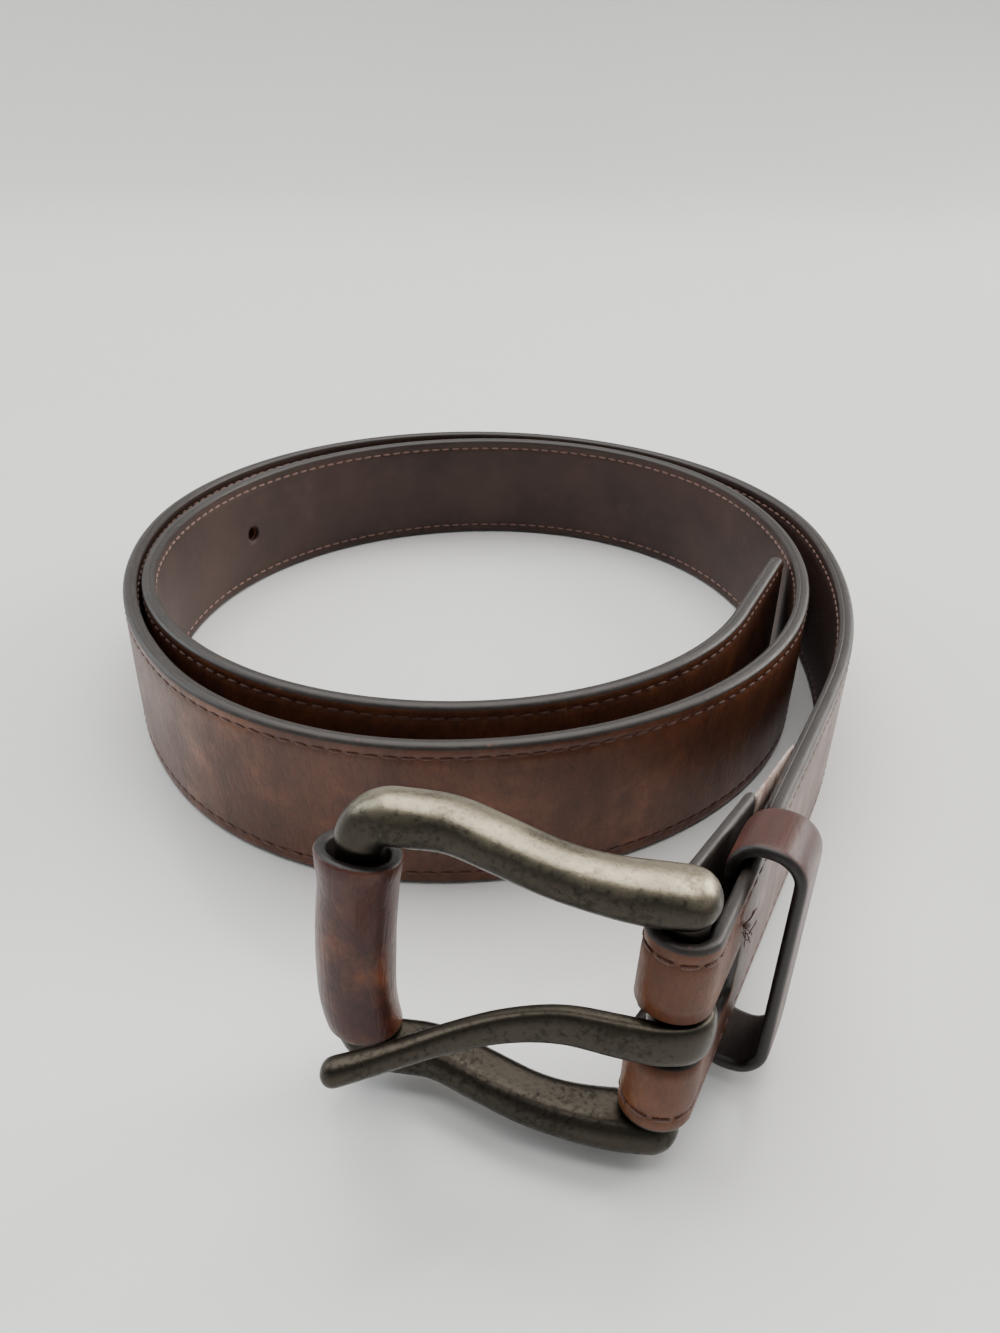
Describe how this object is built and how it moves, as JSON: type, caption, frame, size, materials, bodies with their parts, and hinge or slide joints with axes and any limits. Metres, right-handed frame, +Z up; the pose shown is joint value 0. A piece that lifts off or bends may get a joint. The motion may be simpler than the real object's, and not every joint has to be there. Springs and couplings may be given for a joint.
{
  "type": "leather belt",
  "caption": "Brown leather belt, coiled, with a cast heel-bar buckle, swinging prong, leather-wrapped front bar and sliding keeper loop.",
  "frame": {"origin": "middle of the foot of the whole coiled belt, on the surface it stands on", "axes": "+Z up across the width of the coiled strap, +Y along the strap's straight run from the heel bar to the coil"},
  "size_m": [0.209, 0.2582, 0.0533],
  "materials": {
    "face_leather": "satin",
    "lining_leather": "matte",
    "core_board": "matte",
    "thread": "matte",
    "antique_metal": "antiqued satin",
    "sleeve_leather": "satin",
    "keeper_leather": "satin",
    "steel_wire": "satin"
  },
  "bodies": {
    "strap": {"strap_face": "face_leather", "strap_lining": "lining_leather", "strap_core": "core_board", "stitch_row_upper": "thread", "stitch_row_lower": "thread"},
    "buckle": {"buckle_frame": "antique_metal", "bar_sleeve": "sleeve_leather"},
    "prong": {"prong": "antique_metal"},
    "keeper": {"keeper_band": "keeper_leather", "keeper_staple": "steel_wire"}
  },
  "joints": [
    {"name": "buckle_swing", "type": "hinge", "parent": "strap", "child": "buckle", "pos_m": [0.09099, -0.09929, 0.02672], "axis": [0, 0.1045, 0.9945], "range_deg": [-40, 110]},
    {"name": "prong_swing", "type": "hinge", "parent": "buckle", "child": "prong", "pos_m": [0.09099, -0.09929, 0.02672], "axis": [0, 0.1045, 0.9945], "range_deg": [-16, 60]},
    {"name": "keeper_slide", "type": "slide", "parent": "strap", "child": "keeper", "axis": [0, 0.9945, -0.1045], "range_m": [-0.001, 0.006]}
  ]
}
